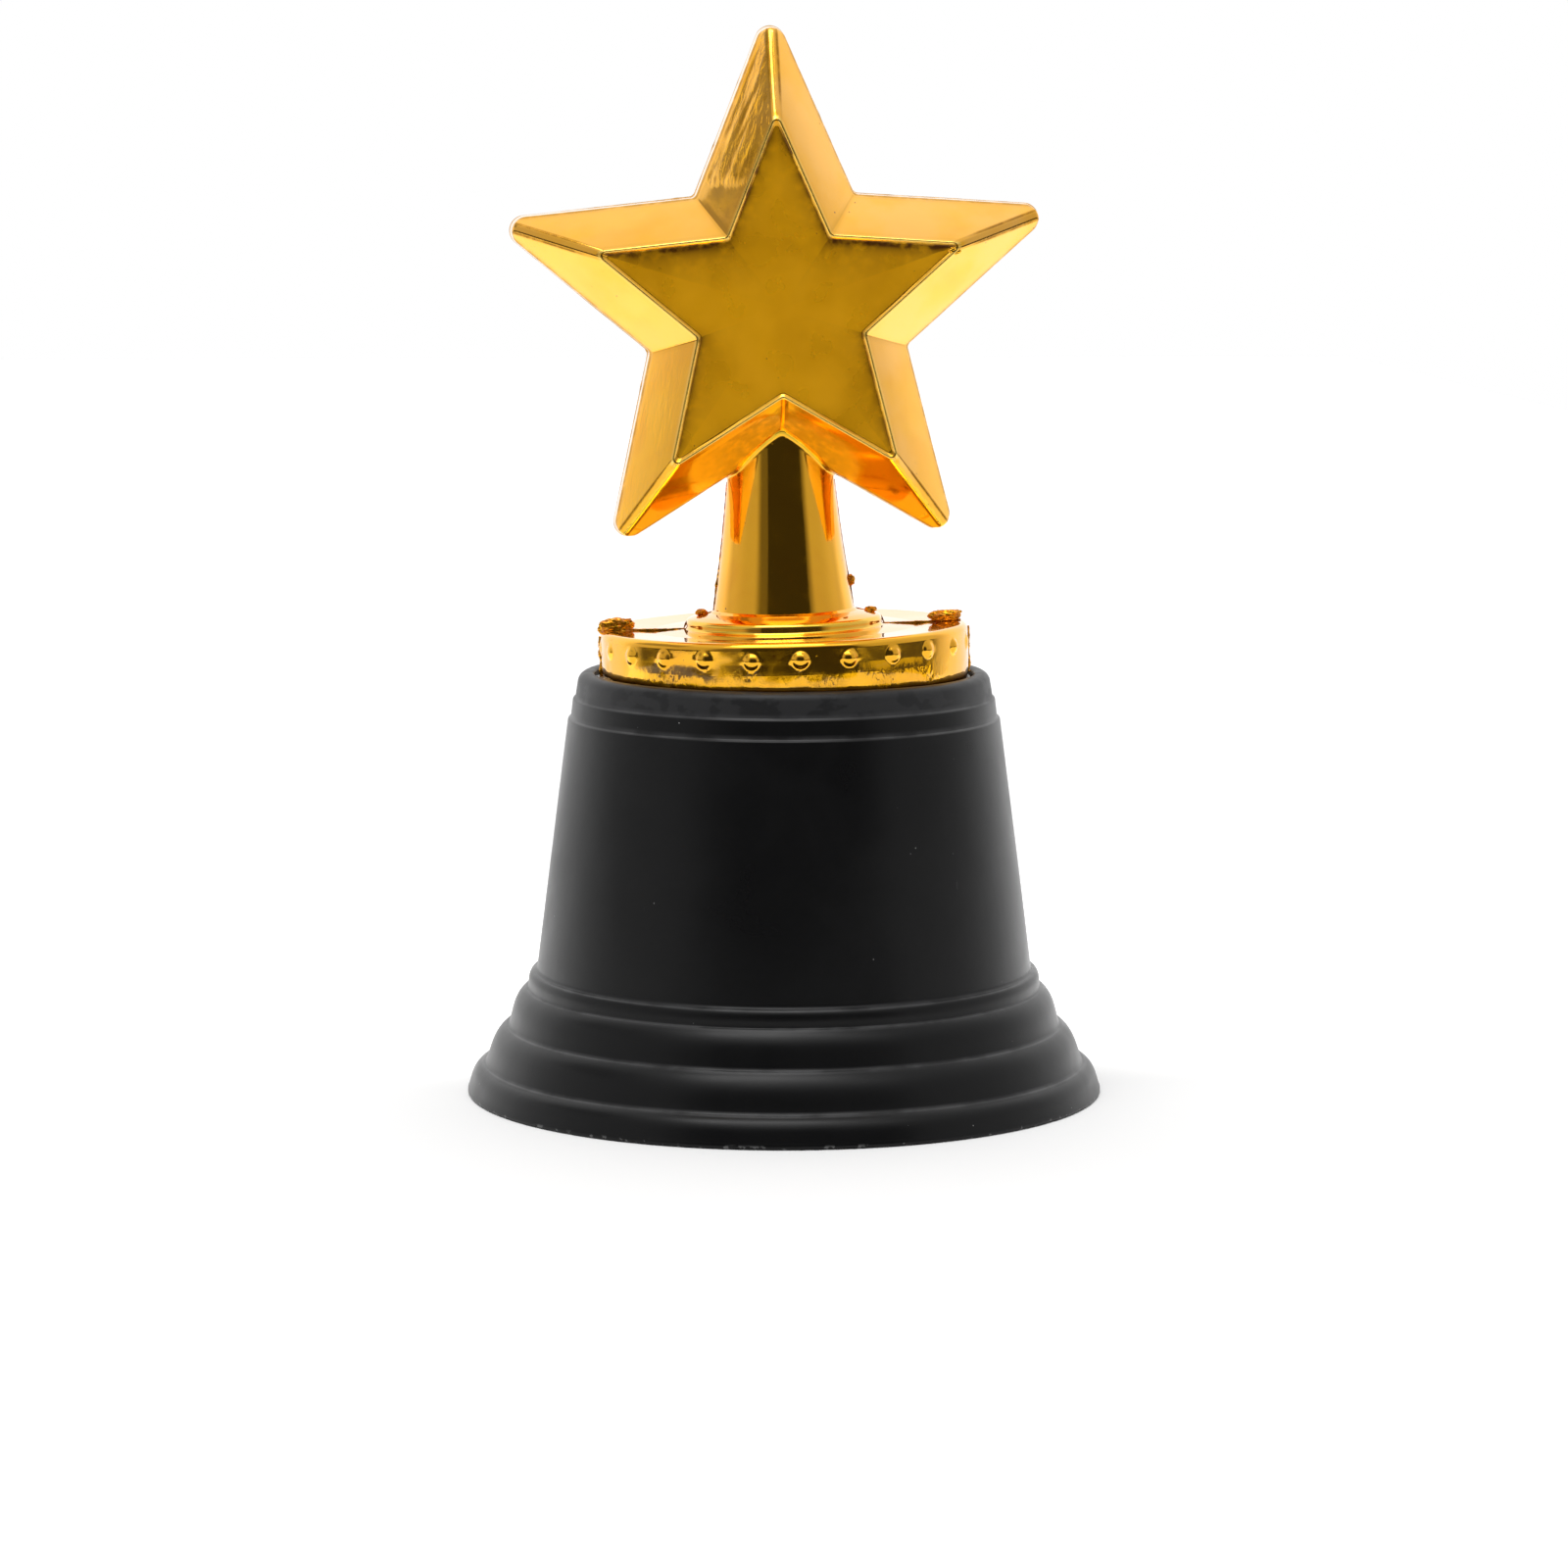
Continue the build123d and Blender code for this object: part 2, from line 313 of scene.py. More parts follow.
def painted_shade_mask(s):
    """How much painted shade a point gets: the mesh's painted_shade attribute, made uneven."""
    return s.math("MULTIPLY", s.attribute("painted_shade"), s.ramp(s.noise(1.4, 4.0), 0.25, 0.6, 0.4, 1.0))


def bright_gold_material():
    """Vacuum-metallised plastic under amber lacquer, glossy, with dust pits and uneven lacquer, and painted
    shade, painted paler gold, painted sheen and painted crest glints.
    """
    s = Shader("gold_bright")
    lacquer = s.mix(s.ramp(s.noise(9.0, 3.0, distortion=0.6), 0.40, 0.72), GOLD, GOLD_DEEP)
    # painted paler gold on the down-facing inner bevels and the flange top
    lacquer = s.mix(s.attribute("paler"), lacquer, GOLD_PAINTED_PALE)
    # painted sheen: paler gold, strongest on the right half of the star
    painted_sheen = s.math("MULTIPLY", s.attribute("painted_sheen"), s.ramp(s.noise(11.0, 3.0), 0.35, 0.62, 0.25, 1.0))
    lacquer = s.mix(painted_sheen, lacquer, GOLD_PAINTED_SHEEN)
    # painted highlight along the crests
    wear_and_painted_glint = s.attribute("wear_and_painted_glint")
    lacquer = s.mix(wear_and_painted_glint, lacquer, GOLD_PAINTED_GLINT)
    pits = dust_pits(s, 1.9, 0.075)
    smears = s.ramp(s.noise(3.5, 4.0, distortion=0.8), 0.35, 0.75, 0.07, 0.15)
    # painted shade at the faces' borders, beside ridges, on the side walls and on the streaked bevel
    painted_shade = painted_shade_mask(s)
    rough = s.math("ADD", smears, s.math("MULTIPLY", pits, 0.3))
    rough = s.math("ADD", rough, s.math("MULTIPLY", s.math("ADD", painted_shade, wear_and_painted_glint), 0.25))
    s.set(Base_Color=s.mix(painted_shade, s.mix(pits, lacquer, BROWN), PAINTED_SHADE),
          Metallic=s.ramp(painted_shade, 0.0, 1.0, 1.0, 0.5), Roughness=rough, Specular_Tint=(*GOLD_EDGE, 1.0),
          Coat_Weight=s.ramp(painted_shade, 0.0, 0.6, 0.9, 0.1), Coat_Roughness=0.05, Coat_IOR=1.45)
    smooth = s.bump(s.noise(1.6, 3.0), 0.005)
    furrows = s.noise(0.8, 3.0, stretch=(1, 1, 3.5), distortion=0.5)
    furrows = s.math("MULTIPLY", s.attribute("streak"), furrows)
    s.set(Normal=s.bump(pits, -0.02, s.bump(furrows, 0.16, smooth)))
    return s.material


def face_gold_material():
    """The sunken faces: the same finish gone dull and olive, with soft brown clouds and fine dust."""
    s = Shader("gold_face")
    clouds = s.ramp(s.noise(13.0, 3.0, distortion=0.4, roughness=0.4), 0.38, 0.68)
    streaks = s.ramp(s.noise(2.0, 3.0, stretch=(1, 1, 4)), 0.5, 0.8)
    colour = s.mix(clouds, FACE_GOLD, FACE_DULL)
    colour = s.mix(s.math("MULTIPLY", streaks, 0.3), colour, FACE_GOLD)
    pits = dust_pits(s, 1.7, 0.06)
    dust = s.math("MULTIPLY", s.specks(2.6, 0.030), s.ramp(s.noise(8.0), 0.45, 0.6))
    colour = s.mix(s.math("MULTIPLY", dust, 0.6), colour, (0.95, 0.80, 0.45))
    # painted shade along the borders of the sunken faces
    colour = s.mix(painted_shade_mask(s), s.mix(pits, colour, BROWN), PAINTED_SHADE)
    s.set(Base_Color=colour, Metallic=s.ramp(clouds, 0.0, 1.0, 0.30, 0.45),
          Roughness=s.ramp(s.noise(5.0, 3.0), 0.35, 0.7, 0.26, 0.36), Specular_Tint=(*GOLD_EDGE, 1.0),
          Coat_Weight=0.12, Coat_Roughness=0.12, Coat_IOR=1.45)
    s.set(Normal=s.bump(pits, -0.02, s.bump(s.noise(2.4, 3.0), 0.006)))
    return s.material


def flash_material():
    """Torn plastic where the mould pinched it: dark amber, crumbly, metallised only in patches."""
    s = Shader("gold_flash")
    crumbs = s.noise(1.1, 4.0, roughness=0.6)
    torn = s.ramp(crumbs, 0.40, 0.60)
    s.set(Base_Color=s.mix(torn, TORN, GOLD_DEEP), Metallic=s.ramp(crumbs, 0.36, 0.52, 0.55, 1.0),
          Roughness=s.ramp(crumbs, 0.3, 0.7, 0.42, 0.16), Coat_Weight=0.5, Coat_Roughness=0.1)
    s.set(Normal=s.bump(crumbs, 0.07))
    return s.material


BLACK = (0.0030, 0.0030, 0.0033)


def black_material(name, roughness, rings):
    """Injection-moulded black plastic, satin, with dust, faint scuffs, a soft grain and any turned rings."""
    s = Shader(name)
    cloud = s.noise(14.0, 4.0, distortion=0.5)
    scuff = s.ramp(s.noise(2.6, 5.0, stretch=(1, 1, 2.5), roughness=0.7), 0.66, 0.80)
    scuff = s.math("MULTIPLY", scuff, s.ramp(cloud, 0.5, 0.62))
    dust = s.math("MULTIPLY", s.specks(3.1, 0.032), s.ramp(s.noise(7.0), 0.45, 0.6))
    colour = s.mix(cloud, BLACK, (0.0045, 0.0045, 0.0048))
    colour = s.mix(s.math("MULTIPLY", scuff, 0.7), colour, (0.030, 0.030, 0.030))
    colour = s.mix(dust, colour, (0.35, 0.35, 0.34))
    height = s.add("ShaderNodeSeparateXYZ", {0: s.millimetres}).outputs["Z"]
    # lighter, rougher wear on the lip band
    wear_and_painted_glint = s.math("MULTIPLY", s.ramp(height, LIP_TOP - 3.9, LIP_TOP - 3.3),
                  s.ramp(s.noise(3.4, 3.0, stretch=(1, 1, 0.6)), 0.44, 0.52, 0.6, 1.0))
    colour = s.mix(wear_and_painted_glint, colour, (0.022, 0.022, 0.023))
    # painted glints: lighter lines along the edges of the rings and steps
    painted_glint_lines = s.math("MULTIPLY", s.attribute("painted_glints"), s.ramp(s.noise(6.0, 3.0), 0.35, 0.6, 0.35, 1.0))
    colour = s.mix(painted_glint_lines, colour, (0.055, 0.055, 0.056))
    nicks = s.math("MULTIPLY", s.ramp(height, 0.7, 0.3), s.ramp(s.noise(1.2, 4.0), 0.60, 0.64))
    colour = s.mix(nicks, colour, (0.12, 0.12, 0.12))
    rough = s.ramp(cloud, 0.3, 0.7, roughness * 0.88, roughness * 1.12)
    rough = s.math("ADD", rough, s.math("MULTIPLY", scuff, 0.03))
    rough = s.math("ADD", rough, s.math("MULTIPLY", wear_and_painted_glint, 0.14))
    s.set(Base_Color=colour, Roughness=rough, Specular_IOR_Level=0.225)
    grain = s.bump(s.noise(0.35, 2.0), 0.004)
    waves = s.bump(s.noise(5.0, 2.0), 0.02, grain)
    if rings:
        waves = s.bump(s.noise(0.3, 3.0, stretch=(60, 60, 1)), 0.05, waves)
    s.set(Normal=waves)
    return s.material


def glue_material():
    """Set hot glue and lacquer, near black and glossy, amber where it is thin."""
    s = Shader("glue")
    paler = s.ramp(s.noise(1.1, 4.0, roughness=0.65), 0.52, 0.72)
    colour = s.mix(paler, (0.012, 0.008, 0.006), (0.22, 0.075, 0.012))
    s.set(Base_Color=colour, Roughness=s.ramp(s.noise(0.8, 3.0), 0.3, 0.7, 0.12, 0.4),
          Coat_Weight=0.4, Coat_Roughness=0.05)
    s.set(Normal=s.bump(s.noise(0.5, 4.0), 0.08))
    return s.material


# ---- Star outline and profile ----
def star_radius(turn, apothem, tip_round, notch_round):
    """Distance from the centre to a star outline, turn radians from the nearest tip's direction."""
    apothem = np.broadcast_to(apothem, np.broadcast(turn, apothem).shape)
    result = apothem / np.cos(turn - EDGE_TURN)
    tip = (apothem - tip_round) / cos(EDGE_TURN)
    tip_end = np.arctan2(tip_round * sin(EDGE_TURN), tip + tip_round * cos(EDGE_TURN))
    under = np.maximum(tip_round ** 2 - (tip * np.sin(turn)) ** 2, 0)
    result = np.where(turn < tip_end, tip * np.cos(turn) + np.sqrt(under), result)
    back = HALF_SECTOR - turn
    slant = EDGE_TURN - HALF_SECTOR
    notch = (apothem + notch_round) / cos(slant)
    notch_end = np.arctan2(notch_round * sin(slant), notch - notch_round * cos(slant))
    under = np.maximum(notch_round ** 2 - (notch * np.sin(back)) ** 2, 0)
    return np.where(back < notch_end, notch * np.cos(back) - np.sqrt(under), result)


BEVEL_FOOT = STAR_APOTHEM - SIDE_DRAFT
FACE_APOTHEM = CREST_APOTHEM - CREST_WIDTH - FACE_STEP
FACE_DEPTH = CREST_DEPTH - FACE_RECESS
BEVEL_SLOPE = (BEVEL_FOOT - CREST_APOTHEM) / (CREST_DEPTH - SIDE_DEPTH)


def bevel_apothem(depth):
    return BEVEL_FOOT - BEVEL_SLOPE * (depth - SIDE_DEPTH)


def side_radius(turn, depth):
    """The star's surface radius at a depth from the parting plane, on side wall and bevel."""
    wall = star_radius(turn, STAR_APOTHEM, TIP_ROUND, NOTCH_ROUND)
    wall = wall * (1 - SIDE_DRAFT / SIDE_DEPTH / STAR_APOTHEM * depth)
    bevel = star_radius(turn, bevel_apothem(depth), RIDGE_ROUND, NOTCH_ROUND)
    return soft_min(wall, bevel, EDGE_BLEND)


def edge_depth(turn):
    """Depth at which the side wall gives way to the bevel."""
    wall = star_radius(turn, STAR_APOTHEM, TIP_ROUND, NOTCH_ROUND)
    bevel = star_radius(turn, STAR_APOTHEM, RIDGE_ROUND, NOTCH_ROUND) / STAR_APOTHEM
    draft = wall * SIDE_DRAFT / SIDE_DEPTH / STAR_APOTHEM
    return (bevel * (BEVEL_FOOT + SIDE_DEPTH * BEVEL_SLOPE) - wall) / (bevel * BEVEL_SLOPE - draft)


def star_turns():
    """Column directions over half a sector: close together at the tip and notch, even along the edge."""
    tip_end, notch_start = radians(3.0), radians(34.6)
    reach = np.linspace(tan(EDGE_TURN - tip_end), tan(EDGE_TURN - notch_start), 28)
    edge = EDGE_TURN - np.arctan(reach)
    return np.concatenate([np.arange(0, tip_end * 0.98, radians(0.21)), edge,
                           np.linspace(notch_start, HALF_SECTOR, 6)[1:]])


def parting_ridge(angles):
    """Height of the thin flash along the parting line, ragged and torn."""
    circle = np.stack([np.cos(angles) * 30, np.sin(angles) * 30, angles * 0], axis=1)
    coarse = noise_at(circle, 6.0, 3)
    fine = noise_at(circle, 0.9, 4)
    return 0.07 + 0.14 * np.maximum(coarse, 0) + 0.16 * np.maximum(fine, 0) ** 2


def star_grid():
    """The star's points, back centre to front centre by rows, and each row's material number."""
    half = star_turns()
    offsets = np.concatenate([-half[:0:-1], half[:-1]])
    turns = np.abs(np.tile(offsets, 5))
    angles = np.concatenate([pi / 2 + 2 * pi / 5 * arm + offsets for arm in range(5)])
    edge = edge_depth(turns)
    crest = rounded([(bevel_apothem(CREST_DEPTH - 2), CREST_DEPTH - 2, 0),
                     (CREST_APOTHEM, CREST_DEPTH, 0.2), (CREST_APOTHEM - CREST_WIDTH, CREST_DEPTH, 0.25),
                     (FACE_APOTHEM, FACE_DEPTH, 0.2), (FACE_MIDDLE, FACE_DEPTH, 0)], 0.09)[1:-1]
    face_start = len(crest)
    face_edge = crest[-1][0]
    inward = np.linspace(0, 1, 18)[1:] ** 1.5
    crest += [(face_edge + (FACE_MIDDLE - face_edge) * share, FACE_DEPTH) for share in inward]
    depths = [np.full(len(turns), ridge) for ridge in (0.0, 0.08, 0.17, 0.3, 0.6)]
    depths += [0.9 + (edge - 1.6) * share for share in np.linspace(0, 1, 6)]
    depths += [edge + step for step in np.linspace(-0.5, 0.5, 9)]
    bevel_end = crest[0][1]
    depths += [edge + 0.7 + (bevel_end - 0.1 - edge - 0.7) * share for share in np.linspace(0, 1, 26)]
    ridge = parting_ridge(angles)
    rows, kinds = [], []
    for depth in depths:
        radius = side_radius(turns, depth) + ridge * np.exp(-(depth / 0.16) ** 2)
        rows.append((radius, depth))
        kinds.append(0)
    for index, (apothem, depth) in enumerate(crest):
        sharpness = min(index / face_start, 1)
        tip_round = min(RIDGE_ROUND + (FACE_TIP_ROUND - RIDGE_ROUND) * sharpness, apothem * 0.4)
        rows.append((star_radius(turns, apothem, tip_round, min(NOTCH_ROUND, apothem * 0.4)),
                     np.full(len(turns), depth)))
        kinds.append(0 if index < face_start - 1 else 1)
    front = np.array([[r * np.cos(angles), -d, r * np.sin(angles)] for r, d in rows]).transpose(0, 2, 1)
    back = front[:0:-1] * (1, -1, 1)
    grid = np.concatenate([back, front])
    return grid, kinds[:0:-1] + kinds


def along_streaks(x, y, z):
    """Places as (along, across, depth) of the streaks on the front's top left bevel."""
    return np.stack([x * STREAK_X + z * STREAK_Z, x * STREAK_Z - z * STREAK_X, y], axis=-1)


def uneven_star(grid):
    """Blow-moulded unevenness: crowned bevels, waves on the faces and streaks on one bevel."""
    normals = grid_normals(grid)
    lift = 0.035 * noise_at(grid, 11.0, 1) + 0.012 * noise_at(grid, 4.0, 2)
    x, y, z = grid[..., 0], grid[..., 1], grid[..., 2]
    depth = np.abs(y)
    on_face = (depth > FACE_DEPTH - 0.02) & (depth < FACE_DEPTH + 0.05)
    lift += np.where(on_face, 0.05 * noise_at(grid, 8.0, 5), 0)
    along = along_streaks(x, y, z)
    streaks = noise_at(along, np.array([9.0, 3.0, 1.1]), 6)
    streaks += 0.5 * noise_at(along, np.array([4.0, 2.0, 0.6]), 7)
    streaked = (x < -1.0) & (z > TOP_ARM) & (y < -SIDE_DEPTH - 1) & (depth < CREST_DEPTH - 0.5)
    lift += np.where(streaked, 0.10 * streaks * np.clip((-1 - x) / 1.5, 0, 1), 0)
    across = (bevel_apothem(depth) - CREST_APOTHEM) / (BEVEL_FOOT - CREST_APOTHEM)
    on_bevel = (depth > SIDE_DEPTH + 0.4) & (depth < CREST_DEPTH - 0.25)
    crown = np.where(on_bevel, 1 - (2 * across - 1) ** 2, 0)
    lift += crown * np.where((x < 0) & (z > TOP_ARM), STREAKED_CROWN, CROWN)
    return grid + normals * lift[..., None]


# ---- Post ----
def post_radius(height):
    """A quadratic through the post's foot, waist and top."""
    points = (POST_FOOT, POST_WAIST, POST_TOP)
    total = 0
    for index, (radius, at) in enumerate(points):
        share = 1
        for other, (_, elsewhere) in enumerate(points):
            if other != index:
                share = share * (height - elsewhere) / (at - elsewhere)
        total = total + radius * share
    return total


def star_gap(x, y, z):
    """Distance of a point below the star from its surface, negative inside."""
    up = z - STAR_CENTRE
    sector = 2 * HALF_SECTOR
    turn = np.abs(np.mod(np.arctan2(up, x) - pi / 2 + HALF_SECTOR, sector) - HALF_SECTOR)
    depth = np.abs(y)
    gap = np.hypot(x, up) - side_radius(turn, depth)
    slant = np.where(depth > SIDE_DEPTH, 1 / sqrt(1 + BEVEL_SLOPE ** 2), 1.0)
    return gap * cos(EDGE_TURN - HALF_SECTOR) * slant


def post_grid():
    """The post from inside the collar to inside the star, with a fillet that runs out on the star."""
    angles = np.linspace(0, 2 * pi, 200, endpoint=False)
    low = np.full(len(angles), STAR_CENTRE - 30.0)
    high = np.full(len(angles), STAR_CENTRE - 10.0)
    for _ in range(30):
        middle = (low + high) / 2
        radius = post_radius(middle)
        outside = star_gap(radius * np.cos(angles), radius * np.sin(angles), middle) > 0
        low, high = np.where(outside, middle, low), np.where(outside, high, middle)
    start, meet = POST_FOOT[1] - 1.0, low
    heights = [start + (meet - 3.2 - start) * share for share in np.linspace(0, 1, 44)]
    heights += [meet - 3.2 + step for step in np.linspace(0.1, 4.4, 40)]
    heights.append(meet + 2.5)
    rows = []
    for height in heights:
        proud = np.zeros(len(angles))
        for _ in range(4):
            radius = post_radius(height) + proud
            gap = star_gap(radius * np.cos(angles), radius * np.sin(angles), height) + 0.03
            proud = (sqrt(FILLET) - np.sqrt(np.clip(gap, 0, FILLET))) ** 2
        radius = post_radius(height) + proud
        rows.append(np.stack([radius * np.cos(angles), radius * np.sin(angles), height], axis=1))
    grid = np.array(rows)
    lift = 0.03 * noise_at(grid, np.array([7.0, 7.0, 12.0]), 11)
    lift += 0.008 * noise_at(grid, np.array([1.5, 1.5, 16]), 12)
    lift *= np.clip((STAR_CENTRE - 27 - grid[..., 2]) / 4, 0, 1)
    return grid + grid_normals(grid) * lift[..., None]


def joined(first, second):
    """Unites two closed meshes into one and removes the second object."""
    union = first.modifiers.new("join", "BOOLEAN")
    union.operation = "UNION"
    union.object = second
    union.solver = "MANIFOLD"
    graph = bpy.context.evaluated_depsgraph_get()
    mesh = bpy.data.meshes.new_from_object(first.evaluated_get(graph))
    first.modifiers.clear()
    first.data = mesh
    bpy.data.objects.remove(second)
    return first


def star_finish(points):
    """Finish at points of the upright star, each 0 to 1: painted shade, painted paler gold, painted sheen,
    painted crest glints, and streaks.
    """
    x, y, z = points[:, 0], np.abs(points[:, 1]), points[:, 2] - STAR_CENTRE
    out = np.hypot(x, z)
    sector = 2 * HALF_SECTOR
    angle = np.arctan2(z, x)
    signed = np.mod(angle - pi / 2 + HALF_SECTOR, sector) - HALF_SECTOR
    turn = np.abs(signed)
    apothem = out * np.cos(turn - EDGE_TURN)
    upward = np.sin(angle - signed + np.sign(signed) * EDGE_TURN)
    inward = np.maximum(FACE_APOTHEM - apothem, 0)
    near_tip = np.clip((CREST_APOTHEM / cos(EDGE_TURN) - out) / 4, 0.2, 1)
    # painted shade: strongest on the faces' upper borders, where the recess wall faces down into shade, and
    # weaker at the tips
    strength = (0.55 + 0.45 * upward + 0.5 * (upward > 0.9)) * near_tip
    sunk = (y > FACE_DEPTH - 0.12) & (apothem < CREST_APOTHEM - CREST_WIDTH - 0.08)
    painted_shade = np.where(sunk, strength * (0.85 * np.exp(-inward / 0.45) + 0.42 * np.exp(-inward / 2.6)), 0)
    across = out * np.sin(turn)
    # painted shade beside the ridges near the tips
    ridge = np.clip((out - 27.5) / 2, 0, 1) * (y > SIDE_DEPTH + 1)
    painted_shade += ridge * 0.8 * np.exp(-((across - 0.66) / 0.15) ** 2)
    # painted shade on the side wall and along its edge, darkest at the parting line, where the dark brown
    # flash is real
    wall = np.clip((SIDE_DEPTH - y) / 0.5, 0, 1) * (out > 17)
    rim = 0.5 * np.exp(-((y - SIDE_DEPTH) / 0.55) ** 2) * (out > 17)
    painted_shade = np.clip(painted_shade + rim + wall * (0.15 + 0.7 * np.exp(-(y / 0.2) ** 2)), 0, 1)
    # painted shade on the down-facing bevels beside the post
    beside_post = np.clip(1 - (np.abs(x) - POST_TOP[0]) / 6, 0, 1)
    painted_shade += 0.35 * beside_post * (upward < -0.8) * (apothem > CREST_APOTHEM + 1)
    # the down-facing inner bevels get painted paler gold; the other bevels get painted sheen
    inner_facets = (upward < -0.8) & (y > SIDE_DEPTH + 0.3) & (apothem > CREST_APOTHEM)
    sheen_area = ~inner_facets & (out > 12) & (z > -34) & (apothem > CREST_APOTHEM)
    # painted highlight along the crests
    crest = np.exp(-((apothem - CREST_APOTHEM + CREST_WIDTH / 2) / 0.2) ** 2) * (y > CREST_DEPTH - 0.3)
    streak = (points[:, 1] < -SIDE_DEPTH - 1) & (x < -1) & (z > TOP_ARM) & (apothem > CREST_APOTHEM + 0.2)
    patchy = np.clip(0.55 + 0.9 * noise_at(points, 5.0, 9), 0, 1)
    along = along_streaks(x, points[:, 1], z)
    stripes = noise_at(along, np.array([5.5, 1.8, 1.4]), 8)
    stripes += 0.5 * noise_at(along, np.array([2.2, 0.8, 0.7]), 10)
    # painted dark stripes along the streaks on the top left bevel
    painted_shade = np.clip(painted_shade + 0.62 * streak * np.clip(stripes * 1.6 + 0.05, 0, 1), 0, 1)
    # painted sheen: weak on the lower left bevels, strongest on the right half
    low_left = (x < 0) & (upward > 0) & (z < 0) & (y > SIDE_DEPTH + 1) & (apothem > CREST_APOTHEM + 0.2)
    painted_sheen = sheen_area * np.where(low_left, 0.15, 0.55 + 0.45 * (x > 0))
    return {"painted_shade": painted_shade, "paler": 0.8 * inner_facets, "painted_sheen": painted_sheen, "wear_and_painted_glint": crest,
            "streak": np.clip(streak * patchy + 0.3 * low_left * patchy, 0, 1)}


def set_finish(piece, finish):
    """Stores each share of the finish on the mesh's points."""
    for name, values in finish.items():
        attribute = piece.data.attributes.new(name, "FLOAT", "POINT")
        attribute.data.foreach_set("value", np.asarray(values, np.float32).ravel())


def upright_points(piece):
    return leaned(np.array([vertex.co for vertex in piece.data.vertices]) / MM, -1)


def build_star(bright, face):
    grid, kinds = star_grid()
    grid = uneven_star(grid) + (0, 0, STAR_CENTRE)
    star = grid_object("figure_star", leaned(grid), [bright, face], kinds[:-1] + [1])
    post = grid_object("figure_post", leaned(post_grid()), [bright])
    star = joined(star, post)
    points = upright_points(star)
    finish = star_finish(points)
    across, height = np.hypot(points[:, 0], points[:, 1]), points[:, 2]
    on_post = (across < post_radius(height) + 0.1) & (height < STAR_CENTRE - 12)
    on_star = (height > STAR_CENTRE - 34.5) & ~on_post
    set_finish(star, {name: values * on_star for name, values in finish.items()})
    star.data.polygons.foreach_set("use_smooth", [True] * len(star.data.polygons))
    return finish_piece(star, "gold_plastic", "star_figure")


